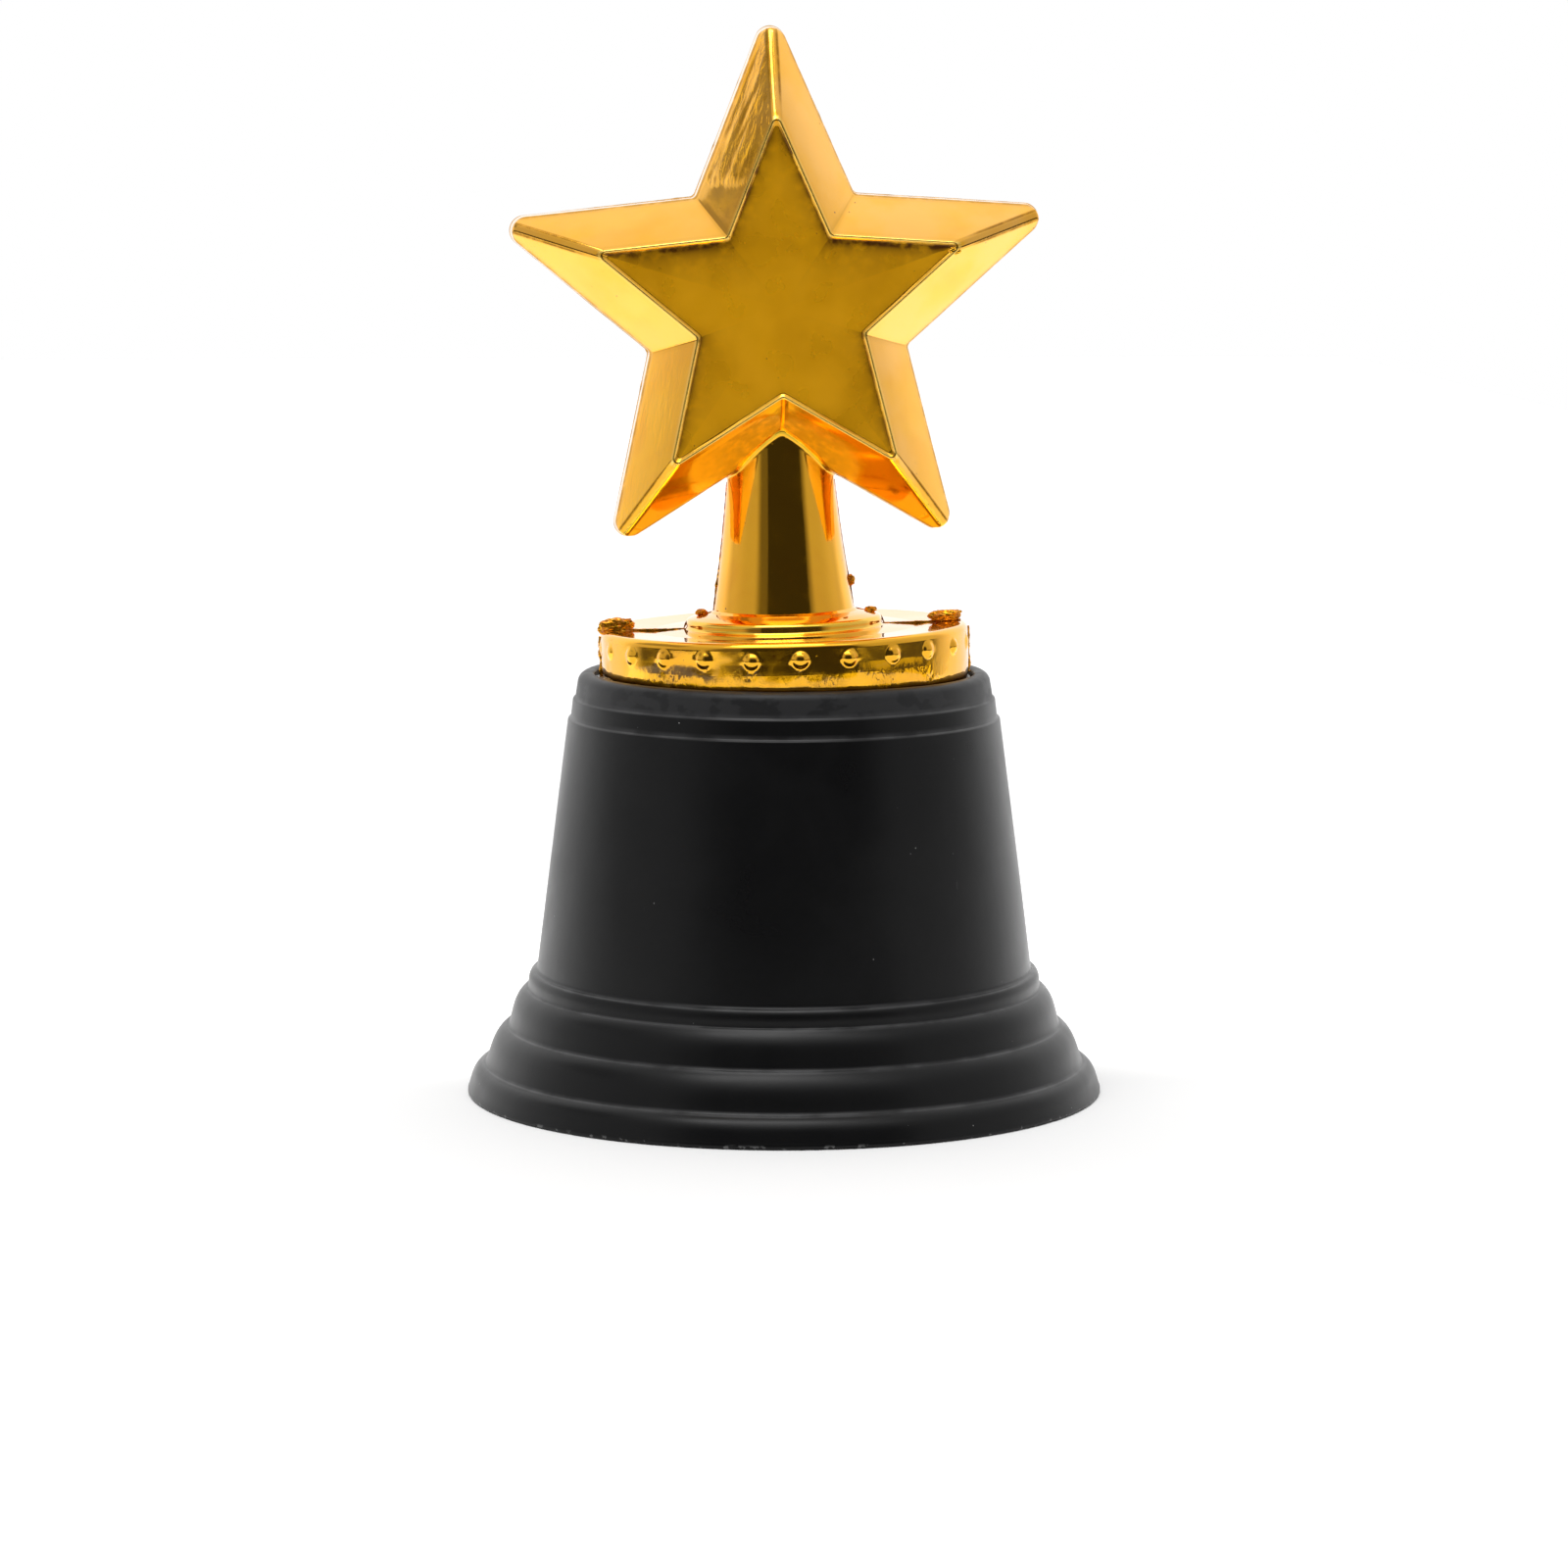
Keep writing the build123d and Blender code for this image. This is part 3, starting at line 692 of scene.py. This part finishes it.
# ---- Drum ----
def build_drum(bright):
    spread = [0.0, 0.13, 0.26, 0.40, 0.55, 0.70, 0.85, 1.0, 1.15, 1.35, 1.9, 2.7]
    sector = 2 * pi / BEAD_COUNT
    near = np.array([-d for d in spread[:0:-1]] + spread) / DRUM_RADIUS
    near = np.append(near, sector / 2)
    beads = -pi / 2 + BEAD_PHASE + sector * np.arange(BEAD_COUNT)
    angles = np.concatenate([bead + near for bead in beads])
    lower = rounded([(1.0, DRUM_FOOT, 0), (DRUM_RADIUS - 0.1, DRUM_FOOT, 0.8),
                     (DRUM_RADIUS, DRUM_FOOT + 2, 0)])
    bead_rows = [(DRUM_RADIUS, BEAD_HEIGHT + d) for d in sorted([-d for d in spread[1:-2]] + spread[:-4])]
    upper = rounded([(DRUM_RADIUS, DRUM_TOP - 1.1, 0), (DRUM_RADIUS, DRUM_TOP + 0.05, 0.95),
                     (18.5, DRUM_TOP - FLANGE_DISH, 6.0), (COLLAR[0] - 0.2, COLLAR[1] - 0.05, 0.5),
                     (COLLAR[0] - 0.05, COLLAR[1] + 1.25, 0.7),
                     (COLLAR_BREAK[0], COLLAR_BREAK[1] + 0.05, 0.6),
                     (POST_FOOT[0] + 0.5, POST_FOOT[1] - 0.2, 0.35),
                     (POST_FOOT[0] - 0.4, POST_FOOT[1] + 0.4, 0), (1.0, POST_FOOT[1] + 0.4, 0)], 0.16)
    profile = divided(lower[:-1], 3.0) + divided([(DRUM_RADIUS, DRUM_FOOT + 1.2), bead_rows[0]], 0.35)
    profile += bead_rows[1:] + divided(upper, 0.6)
    grid = turned_grid(profile, angles)
    normals = grid_normals(grid)
    lift = 0.03 * noise_at(grid, 9.0, 21) + 0.01 * noise_at(grid, 3.0, 22)
    height = grid[..., 2]
    radial = np.hypot(grid[..., 0], grid[..., 1])
    side = np.clip((radial - DRUM_RADIUS + 0.6) / 0.4, 0, 1)
    low_side = side * np.clip((DRUM_TOP - 3.2 - height) / 2.0, 0, 1)
    patches = np.clip(0.35 + noise_at(grid, 5.0, 23), 0, 1)
    lift += low_side * patches * (0.075 * noise_at(grid, 1.6, 24) + 0.035 * noise_at(grid, 0.7, 25))
    lift += side * (0.09 * noise_at(grid, np.array([6.5, 6.5, 5.0]), 26) + 0.02 * noise_at(grid, 2.2, 27))
    lift -= side * 0.010 * np.maximum(DRUM_TOP - 3.8 - height, 0) ** 2
    lift -= side * 0.006 * np.maximum(height - DRUM_TOP + 3.8, 0)
    for bead in beads:
        proud = BEAD_PROUD * RANDOM.uniform(0.75, 1.1) * (0.38 + 0.62 * abs(sin(bead)))
        footprint = BEAD_FOOTPRINT * RANDOM.uniform(0.9, 1.05)
        across = (np.mod(angles - bead - RANDOM.uniform(-0.004, 0.004) + pi, 2 * pi) - pi) * DRUM_RADIUS
        away = np.sqrt(across[None, :] ** 2 + (height - BEAD_HEIGHT - RANDOM.uniform(-0.12, 0.12)) ** 2)
        ball = (footprint ** 2 + proud ** 2) / (2 * proud)
        cap = np.sqrt(np.maximum(ball ** 2 - away ** 2, 0)) - (ball - proud)
        lift -= side * soft_min(-cap, 0, 0.16)
    drum = grid_object("figure_drum", leaned(grid + normals * lift[..., None]), [bright])
    points = upright_points(drum)
    radial = np.hypot(points[:, 0], points[:, 1])
    on_top = radial < DRUM_RADIUS - 0.6
    crinkled = ~on_top * np.clip((DRUM_TOP - 3.0 - points[:, 2]) / 1.4, 0, 1)
    crinkled *= np.clip(0.55 + 1.2 * noise_at(points, 5.0, 23), 0, 1)
    crinkled *= np.clip((22 - np.abs(points[:, 0])) / 3, 0, 1)
    # painted paler gold and painted sheen on the drum's top; painted shade on the crinkled lower front
    set_finish(drum, {"paler": 0.7 * on_top * (radial > COLLAR[0] - 0.5), "painted_sheen": 0.5 * on_top,
                      "streak": crinkled, "painted_shade": 0.2 * crinkled})
    return finish_piece(drum, "gold_plastic", "star_figure")


# ---- Flash ----
def flash_ribbon(name, path, proud, width, material, seed, sides=9):
    """A thin ragged wall along a path of (point, outward direction), proud and width in mm."""
    rows = []
    for index, (point, outward) in enumerate(path):
        point, outward = np.array(point, float), np.array(outward, float)
        ahead = np.array(path[min(index + 1, len(path) - 1)][0]) - np.array(path[max(index - 1, 0)][0])
        across = np.cross(ahead / np.linalg.norm(ahead), outward)
        torn = noise.noise(Vector(point) / 1.3 + Vector((seed, 0, 0)))
        fine = noise.noise(Vector(point) / 0.45 + Vector((0, seed, 0)))
        tall = max(proud[index] * (1 + 0.55 * torn + 0.3 * fine), 0.05)
        thick = width[index] * (1 + 0.4 * fine)
        shift = across * (0.16 * torn + 0.08 * fine)
        ring = []
        for side in range(sides):
            angle = 2 * pi * side / sides
            share = 0.5 + 0.5 * sin(angle)
            rise = tall * share - 0.25 * (1 - sin(angle))
            ring.append(point + shift * share + outward * rise
                        + across * cos(angle) * thick * (0.75 - 0.25 * sin(angle)))
        rows.append(ring)
    grid = leaned(np.array(rows))
    grid = grid + grid_normals(grid) * (0.06 * noise_at(grid, 0.5, seed))[..., None]
    return finish_piece(grid_object(name, grid, [material]), "gold_plastic")


def torn_lump(name, centre, size, material, seed):
    """A torn-off lump: a ball pulled to size and broken up by ridged noise."""
    ball = bpy.data.meshes.new(name)
    build = bmesh.new()
    bmesh.ops.create_icosphere(build, subdivisions=5, radius=1.0)
    build.to_mesh(ball)
    build.free()
    points = np.array([v.co for v in ball.vertices])
    faces = [tuple(p.vertices) for p in ball.polygons]
    bpy.data.meshes.remove(ball)
    shape = 1 + 0.30 * noise_at(points, 0.9, seed) + 0.28 * (0.4 - np.abs(noise_at(points, 0.5, seed + 1)))
    shape += 0.12 * noise_at(points, 0.2, seed + 2)
    placed = points * shape[:, None] * np.array(size) + np.array(centre)
    return finish_piece(mesh_object(name, leaned(placed), faces, [material]), "gold_plastic")


def build_flash(material, bright):
    for side, word in ((-1, "left"), (1, "right")):
        reach = np.linspace(POST_FOOT[0] + 0.2, DRUM_RADIUS - 0.9, 70)
        collar_rise = np.interp(reach, [POST_FOOT[0], COLLAR_BREAK[0], COLLAR[0], COLLAR[0] + 0.3],
                                [POST_FOOT[1], COLLAR_BREAK[1], DRUM_TOP + 0.9, DRUM_TOP - 0.05])
        path = [((side * r, 0, z), (0, 0, 1)) for r, z in zip(reach, collar_rise)]
        proud = np.interp(reach, [POST_FOOT[0], COLLAR[0], COLLAR[0] + 4, DRUM_RADIUS],
                          [0.06, 0.08, 0.10, 0.30])
        width = np.interp(reach, [POST_FOOT[0], COLLAR[0], DRUM_RADIUS - 4, DRUM_RADIUS],
                          [0.05, 0.06, 0.07, 0.16])
        flash_ribbon(f"flash_fin_{word}", path, proud, width, material, 31 + side)
        heights = np.linspace(POST_FOOT[1] - 0.3, STAR_CENTRE - 24.5, 110)
        radii = post_radius(heights)
        path = [((side * r, 0, z), (side, 0, 0)) for r, z in zip(radii, heights)]
        proud = 0.10 + 0.18 * np.exp(-((heights - POST_FOOT[1] - 3.5) / 1.6) ** 2)
        flash_ribbon(f"flash_post_{word}", path, proud, np.full(110, 0.10), material, 41 + side)
        heights = np.linspace(DRUM_FOOT + 1.6, DRUM_TOP - 0.8, 40)
        path = [((side * DRUM_RADIUS, 0, z), (side, 0, 0)) for z in heights]
        flash_ribbon(f"flash_drum_{word}", path, np.full(40, 0.34), np.full(40, 0.22), material, 51 + side)
    torn_lump("flash_lump_left", (-23.7, 0.1, DRUM_TOP + 0.45), (2.4, 0.7, 1.15), material, 61)
    torn_lump("flash_lump_right", (22.9, -0.1, DRUM_TOP + 0.75), (2.3, 0.6, 0.75), material, 71)
    torn_lump("crinkle_tip", (SCAR[0], SCAR[1], STAR_CENTRE + SCAR[2]), (0.85, 0.28, 0.5), bright, 99)
    radius, height = POST_FOOT
    torn_lump("flash_crumb_post", (radius - 0.3, 0, height + 3.8), (0.55, 0.4, 0.75), material, 81)
    torn_lump("flash_crumb_left", (-radius - 1.7, 0, height - 0.1), (0.8, 0.45, 0.4), material, 91)
    torn_lump("flash_crumb_right", (radius + 2.4, 0, height - 0.4), (0.9, 0.45, 0.4), material, 95)


# ---- Glue ----
def build_glue(material):
    """A crinkled bead of squeezed-out glue round the drum, against the inside of the lip."""
    inner, outer = DRUM_RADIUS - 0.7, LIP_INNER + 0.15
    section = rounded([(inner, LIP_TOP - 2.4, 0), (outer, LIP_TOP - 2.4, 0.2), (outer, LIP_TOP - 0.9, 0.3),
                       (DRUM_RADIUS + 0.25, LIP_TOP - 0.5, 0.3), (inner, LIP_TOP - 0.5, 0)], 0.1)
    section = divided(section, 0.14)
    angles = np.linspace(0, 2 * pi, 720, endpoint=False)
    grid = turned_grid(section, angles)
    top = np.clip((grid[..., 2] - LIP_TOP + 1.8) / 0.8, 0, 1)
    lumps = 0.42 * noise_at(grid, 2.6, 101) + 0.22 * noise_at(grid, 0.8, 102)
    lumps += 0.1 * noise_at(grid, 0.35, 103)
    sunk = 0.2 + 0.15 * np.clip(-np.sin(angles), 0, 1)
    grid[..., 2] += top * (lumps - sunk)
    grid[..., 0:2] *= (1 + top * 0.006 * noise_at(grid, 0.7, 104))[..., None]
    rows, columns, _ = grid.shape
    faces = [(row * columns + column, row * columns + (column + 1) % columns,
              (row + 1) % rows * columns + (column + 1) % columns, (row + 1) % rows * columns + column)
             for row in range(rows) for column in range(columns)]
    ring = mesh_object("glue_squeeze", grid.reshape(-1, 3), faces, [material])
    return finish_piece(ring, "glue", "glue_ring")


# ---- Base ----
def swollen(start, end, bulge, count=14):
    """Points from start up to end that stand out from their chord, most of all in the upper part."""
    run, rise = end[0] - start[0], end[1] - start[1]
    length = sqrt(run * run + rise * rise)
    out_x, out_y = rise / length, -run / length
    points = []
    for index in range(count + 1):
        share = index / count
        skewed = share ** 1.5
        height = 4 * bulge * skewed * (1 - skewed)
        points.append((start[0] + run * share + out_x * height, start[1] + rise * share + out_y * height))
    return points


def bell_side(shrink, drop, ledge):
    """Foot to skirt: three swelling steps, each with a ledge as wide as ledge on top, then a band."""
    corners = [(r - shrink, z - drop) for r, z in STEP_CORNERS]
    start = (FOOT_RADIUS - shrink, FOOT_LAND)
    path = []
    for corner in corners:
        brow = (corner[0] + ledge, corner[1] - ledge * 0.35)
        path += swollen(start, brow, STEP_BULGE)
        path.append((corner[0] + ledge * 0.75, corner[1] - ledge * 0.05))
        path.append((corner[0] + ledge * 0.2, corner[1]))
        start = (corner[0] - ledge * 0.1, corner[1] + ledge * 0.2)
    band_top = (BAND_TOP[0] - shrink, BAND_TOP[1] - drop)
    path += swollen(start, (band_top[0] + ledge, band_top[1] - ledge * 0.3), STEP_BULGE / 3)
    path.append((band_top[0] + ledge * 0.7, band_top[1]))
    path.append((SKIRT_FOOT[0] - shrink, SKIRT_FOOT[1] - drop - 0.2))
    path.append((SKIRT_FOOT[0] - shrink - 0.05, SKIRT_FOOT[1] - drop + 0.2))
    return path


def base_profile():
    """One closed side of the bell: inner ceiling, hollow, foot, outside, lip and seat."""
    seat = LIP_TOP - SEAT_DEPTH
    ceiling = seat - SEAT_PLATE
    inner = bell_side(BASE_WALL, 0.6, 0.25)
    inner_top = SHOULDER[0] - BASE_WALL
    hollow = rounded([(1.0, ceiling, 0), (inner_top - 0.5, ceiling, 0.5), (inner_top, SHOULDER[1], 2.0),
                      (inner[-1][0], inner[-1][1], 0)])
    hollow = divided(hollow, 1.1) + divided(inner[::-1][1:] + [(FOOT_RADIUS - BASE_WALL, 0.12)], 0.35)
    outside = [(FOOT_RADIUS - BASE_WALL + 0.12, 0.0), (FOOT_RADIUS - 0.15, 0.0), (FOOT_RADIUS, 0.15)]
    outside = divided(outside, 0.3) + divided(bell_side(0, 0, 0.4), 0.45)
    lip_foot = SHOULDER[1] + RING_HEIGHT
    rings = [outside[-1] + (0,), (SHOULDER[0], SHOULDER[1], 0.35),
             (RING_FOOT, SHOULDER[1] + RING_DROP * 0.6, 0.15), (RING_TOP, lip_foot, 0.3),
             (LIP_FOOT, lip_foot + RING_DROP * 0.6, 0.15), (LIP_OUTER, LIP_TOP, LIP_ROUND),
             (LIP_INNER, LIP_TOP, LIP_SEAT_ROUND), (LIP_INNER, seat, 0.2), (1.0, seat, 0)]
    upper = rounded(rings, 0.12)
    skirt = divided(upper[:2], 1.2)
    return hollow + outside[:-1] + skirt + divided(upper[1:], 0.6)[1:]


def build_base(outside, inside):
    profile = base_profile()
    angles = np.linspace(0, 2 * pi, 280, endpoint=False)
    grid = turned_grid(profile, angles)
    normals = grid_normals(grid)
    lift = 0.03 * noise_at(grid, 16.0, 111) + 0.01 * noise_at(grid, 5.0, 112)
    low = np.clip(1 - grid[..., 2] / TRIM_HEIGHT, 0, 1)
    ragged = np.clip(0.45 * noise_at(grid, 4.0, 113) + 0.9 * noise_at(grid, 0.9, 114), 0, 1)
    lift += -low * 0.1 * ragged
    grid = grid + normals * lift[..., None]
    grid[..., 2] += low * TRIM_RAGGED * ragged
    grid[..., 2] = np.maximum(grid[..., 2], 0)
    inner_rows = next(row for row, point in enumerate(profile) if point[1] == 0)
    kinds = [1 if row < inner_rows else 0 for row in range(len(profile))]
    bell = grid_object("base_bell", grid, [outside, inside], kinds)
    points = np.array([vertex.co for vertex in bell.data.vertices]) / MM
    radial, height = np.hypot(points[:, 0], points[:, 1]), points[:, 2]
    # painted glints along the ring edges and step creases
    edges = [SHOULDER[1] + RING_DROP / 2 + RING_HEIGHT * ring for ring in range(2)]
    edges += [corner[1] for corner in STEP_CORNERS] + [BAND_TOP[1]]
    painted_glints = sum(np.exp(-((height - edge) / 0.16) ** 2) for edge in edges)
    set_finish(bell, {"painted_glints": np.clip(painted_glints, 0, 1) * (radial > LIP_OUTER - 0.4) * (height > 1)})
    return finish_piece(bell, "black_plastic", "base_shell")


# ---- Stage, light and camera ----
CAMERA_AZIMUTH = radians(-3.0)
CAMERA_DISTANCE, CAMERA_HEIGHT = 0.6883, 0.13228
CAMERA_PITCH = radians(7.341)
CAMERA_LENS = 112.5
FLOOR_SIDE, FLOOR_FRONT, FLOOR_BACK = 500.0, 500.0, 2500.0
FLOOR_GAP = 0.03                            # the foot stands clear of the floor by this
FLOOR_GLOW = 0.45                           # a second light on the floor behind the trophy
FLAGS = {       # two ends (x, y), heights of foot and top, how far back the top leans, and brightness
    "flag_dark": ((-220, -380), (338, -380), 1, 304, 0, 0.04),
    "flag_grey": ((-338, -380), (-221, -380), 1, 304, 0, 0.16),
    "flag_left": ((-600, -150), (-560, 290), 340, 700, 0, 0.36),
    "strip_top": ((-260, -190), (260, -190), 430, 430, -90, 2.2),
}


def card(name, corners, material):
    """A flat card that lights or darkens reflections and that the camera doesn't see."""
    piece = mesh_object(name, corners, [(0, 1, 2, 3)], [material])
    piece.visible_camera = False
    piece.visible_diffuse = False
    piece.visible_shadow = False


def build_stage():
    s = Shader("floor_white")
    depth = s.add("ShaderNodeSeparateXYZ", {0: s.millimetres}).outputs["Y"]
    glow = s.math("MULTIPLY", s.ramp(depth, 0.0, 45.0, 0.0, FLOOR_GLOW), s.ramp(depth, 230.0, 150.0))
    s.set(Base_Color=s.mix(s.noise(60.0, 2.0), (0.93, 0.93, 0.93), (0.95, 0.95, 0.95)), Roughness=0.9,
          Specular_IOR_Level=0.1, Emission_Color=(1, 1, 1, 1), Emission_Strength=glow)
    corners = [(-FLOOR_SIDE, -FLOOR_FRONT), (FLOOR_SIDE, -FLOOR_FRONT), (FLOOR_SIDE, FLOOR_BACK),
               (-FLOOR_SIDE, FLOOR_BACK)]
    floor = mesh_object("floor", [(x, y, -FLOOR_GAP) for x, y in corners], [(0, 1, 2, 3)], [s.material])
    for name, (start, end, foot, top, shift, shade) in FLAGS.items():
        shader = Shader(name)
        shader.set(Base_Color=(0, 0, 0, 1), Roughness=1.0, Specular_IOR_Level=0.0,
                   Emission_Color=(1, 1, 1, 1), Emission_Strength=shade)
        (start_x, start_y), (end_x, end_y) = start, end
        card(name, [(start_x, start_y, foot), (end_x, end_y, foot), (end_x, end_y + shift, top),
                    (start_x, start_y + shift, top)], shader.material)


def build_world():
    """A white studio, dim on the camera's side and dark below the table's edge; the background is white."""
    world = bpy.data.worlds.new("studio")
    bpy.context.scene.world = world
    world.use_nodes = True
    tree = world.node_tree

    def graded(value, low, high):
        node = add_node(tree, "ShaderNodeMapRange", {0: value, 1: low, 2: high},
                        interpolation_type="SMOOTHSTEP")
        return node.outputs[0]

    def mixed(share, a, b):
        return add_node(tree, "ShaderNodeMix", {0: share, 2: a, 3: b}, data_type="FLOAT").outputs[0]

    place = add_node(tree, "ShaderNodeTexCoord")
    split = add_node(tree, "ShaderNodeSeparateXYZ", {0: place.outputs["Generated"]})
    back, up = split.outputs["Y"], split.outputs["Z"]
    level = mixed(graded(back, -0.76, -0.56), 0.13, 0.58)
    level = mixed(graded(back, -0.35, 0.20), level, 0.70)
    level = mixed(graded(back, 0.28, 0.64), level, 1.16)
    high = mixed(graded(back, 0.12, 0.48), 0.78, 1.14)
    level = mixed(graded(up, 0.50, 0.80), level, high)
    below = {0: graded(up, 0.0, -0.02), 1: graded(back, 0.35, 0.15)}
    level = mixed(add_node(tree, "ShaderNodeMath", below, operation="MULTIPLY").outputs[0], level, 0.10)
    camera_ray = add_node(tree, "ShaderNodeLightPath").outputs["Is Camera Ray"]
    background = tree.nodes["Background"].inputs
    feed(tree, background["Strength"], mixed(camera_ray, level, 1.0))
    feed(tree, background["Color"], (1, 1, 1, 1))


def build_sun():
    """A wide soft light from above."""
    light = bpy.data.lights.new("overhead", "SUN")
    light.energy = 1.3
    light.angle = radians(36)
    lamp = bpy.data.objects.new("overhead", light)
    lamp.rotation_euler = (radians(14), radians(-6), 0)
    bpy.context.scene.collection.objects.link(lamp)


def build_camera():
    data = bpy.data.cameras.new("camera")
    data.lens, data.sensor_width = CAMERA_LENS, 36.0
    camera = bpy.data.objects.new("camera", data)
    camera.location = (sin(CAMERA_AZIMUTH) * CAMERA_DISTANCE, -cos(CAMERA_AZIMUTH) * CAMERA_DISTANCE,
                       CAMERA_HEIGHT)
    camera.rotation_euler = (pi / 2 - CAMERA_PITCH, 0, CAMERA_AZIMUTH)
    bpy.context.scene.collection.objects.link(camera)
    bpy.context.scene.camera = camera


# ---- Build ----
gold_bright = bright_gold_material()
gold_face = face_gold_material()
gold_flash = flash_material()
black_satin = black_material("black_satin", 0.31, False)
black_inside = black_material("black_inside", 0.22, True)
glue = glue_material()

build_star(gold_bright, gold_face)
build_drum(gold_bright)
build_flash(gold_flash, gold_bright)
build_glue(glue)
build_base(black_satin, black_inside)
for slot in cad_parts["glue_dabs"].material_slots:
    slot.material = glue

build_stage()
build_world()
build_sun()
build_camera()
bpy.context.scene.view_settings.view_transform = "Standard"
